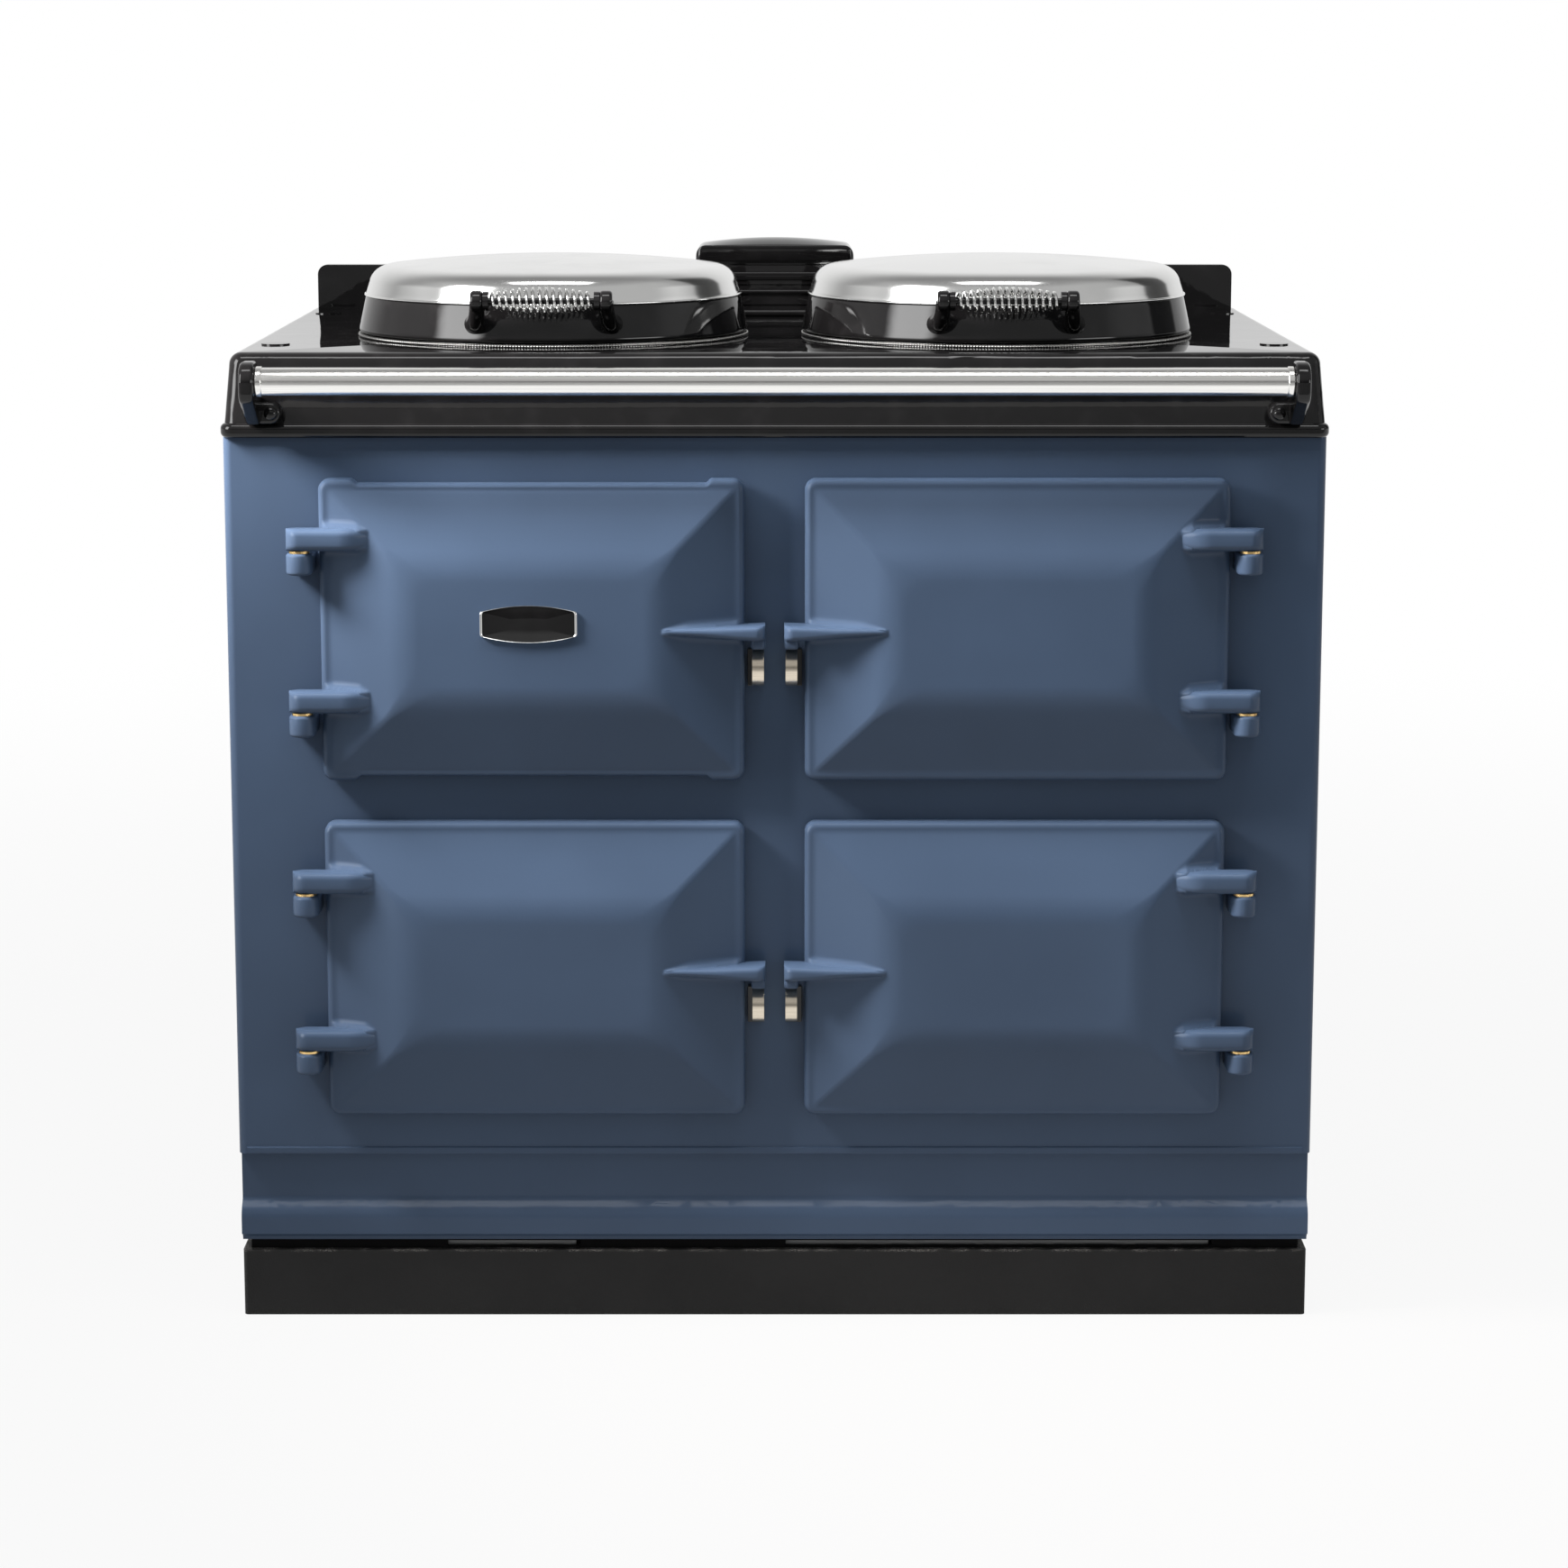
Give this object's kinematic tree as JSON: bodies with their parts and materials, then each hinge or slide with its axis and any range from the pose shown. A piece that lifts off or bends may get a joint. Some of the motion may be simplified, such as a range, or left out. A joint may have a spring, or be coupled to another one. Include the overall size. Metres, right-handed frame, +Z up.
{
  "type": "range cooker",
  "caption": "Cast-iron heat-storage range cooker: hinged pillow-faced oven doors, insulating lids over round hotplates, front hand rail, control compartment, skirting and plinth.",
  "frame": {"origin": "on the floor under the middle of the cooker", "axes": "+Z up, front towards -Y, +X to the right seen from the front"},
  "size_m": [0.99, 0.698, 0.9653],
  "materials": {
    "blue_enamel": "slate-blue vitreous enamel on cast iron",
    "black_enamel": "gloss black vitreous enamel",
    "plinth_paint": "matt black textured paint",
    "chrome": "polished chrome",
    "cast_iron": "bare machined cast iron",
    "sheet_steel": "zinc-coated sheet steel",
    "stainless": "brushed stainless steel",
    "nickel": "warm nickel plate",
    "brass": "brass",
    "rope_seal": "woven heat-proof rope",
    "lagging": "mineral wool lagging",
    "knob_plastic": "moulded black plastic",
    "aluminium": "pressed aluminium",
    "plaque": "black field in a bright rim, bare",
    "element": "oxidised sheathed heater"
  },
  "bodies": {
    "carcass": {"plinth": "plinth_paint", "base_tray": "plinth_paint", "base_skirting": "blue_enamel", "front_plate": "blue_enamel", "side_panel_left": "blue_enamel", "side_panel_right": "blue_enamel", "back_panel": "sheet_steel", "top_plate": "black_enamel", "rear_upstand": "black_enamel", "flue_cowl": "black_enamel", "flue_cap": "black_enamel", "hotplate_left": "cast_iron", "hotplate_right": "cast_iron", "hotplate_rims": "stainless", "heating_elements": "element", "hand_rail": "stainless", "rail_brackets": "black_enamel", "oven_roast": "cast_iron", "oven_bake": "cast_iron", "oven_simmer": "cast_iron", "oven_shelves": "chrome", "insulation": "lagging", "control_box": "sheet_steel", "control_fascia": "stainless", "hinge_brackets": "blue_enamel", "hinge_pins": "sheet_steel", "hinge_washers": "brass", "door_catches": "black_enamel", "catch_strips": "nickel", "screw_caps": "black_enamel", "lid_hinge_brackets": "black_enamel", "cable_gland": "knob_plastic"},
    "door_top_left": {"door_top_left_shell": "blue_enamel", "door_top_left_liner": "sheet_steel", "door_top_left_seal": "rope_seal", "door_plaque": "plaque"},
    "door_top_right": {"door_top_right_shell": "blue_enamel", "door_top_right_liner": "sheet_steel", "door_top_right_seal": "rope_seal"},
    "door_bottom_left": {"door_bottom_left_shell": "blue_enamel", "door_bottom_left_liner": "sheet_steel", "door_bottom_left_seal": "rope_seal"},
    "door_bottom_right": {"door_bottom_right_shell": "blue_enamel", "door_bottom_right_liner": "sheet_steel", "door_bottom_right_seal": "rope_seal"},
    "lid_left": {"lid_left_base": "black_enamel", "lid_left_dome": "chrome", "lid_left_liner": "aluminium", "lid_left_handle_rod": "black_enamel", "lid_left_handle_coil": "chrome"},
    "lid_right": {"lid_right_base": "black_enamel", "lid_right_dome": "chrome", "lid_right_liner": "aluminium", "lid_right_handle_rod": "black_enamel", "lid_right_handle_coil": "chrome"},
    "knob_1": {"knob_1": "knob_plastic"},
    "knob_2": {"knob_2": "knob_plastic"},
    "knob_3": {"knob_3": "knob_plastic"},
    "knob_4": {"knob_4": "knob_plastic"}
  },
  "joints": [
    {"name": "door_top_left_swing", "type": "hinge", "parent": "carcass", "child": "door_top_left", "pos_m": [-0.423, -0.3095, 0.643], "axis": [0, 0, -1], "range_deg": [0, 160]},
    {"name": "door_top_right_swing", "type": "hinge", "parent": "carcass", "child": "door_top_right", "pos_m": [0.423, -0.3095, 0.643], "axis": [0, 0, 1], "range_deg": [0, 160]},
    {"name": "door_bottom_left_swing", "type": "hinge", "parent": "carcass", "child": "door_bottom_left", "pos_m": [-0.423, -0.3095, 0.332], "axis": [0, 0, -1], "range_deg": [0, 160]},
    {"name": "door_bottom_right_swing", "type": "hinge", "parent": "carcass", "child": "door_bottom_right", "pos_m": [0.423, -0.3095, 0.332], "axis": [0, 0, 1], "range_deg": [0, 160]},
    {"name": "lid_left_lift", "type": "hinge", "parent": "carcass", "child": "lid_left", "pos_m": [-0.21, 0.1705, 0.915], "axis": [-1, 0, 0], "range_deg": [0, 95]},
    {"name": "lid_right_lift", "type": "hinge", "parent": "carcass", "child": "lid_right", "pos_m": [0.21, 0.1705, 0.915], "axis": [-1, 0, 0], "range_deg": [0, 95]},
    {"name": "knob_1_turn", "type": "hinge", "parent": "carcass", "child": "knob_1", "pos_m": [-0.322, -0.1975, 0.643], "axis": [0, 1, 0], "range_deg": [0, 270]},
    {"name": "knob_2_turn", "type": "hinge", "parent": "carcass", "child": "knob_2", "pos_m": [-0.252, -0.1975, 0.643], "axis": [0, 1, 0], "range_deg": [0, 270]},
    {"name": "knob_3_turn", "type": "hinge", "parent": "carcass", "child": "knob_3", "pos_m": [-0.182, -0.1975, 0.643], "axis": [0, 1, 0], "range_deg": [0, 270]},
    {"name": "knob_4_turn", "type": "hinge", "parent": "carcass", "child": "knob_4", "pos_m": [-0.112, -0.1975, 0.643], "axis": [0, 1, 0], "range_deg": [0, 270]}
  ]
}
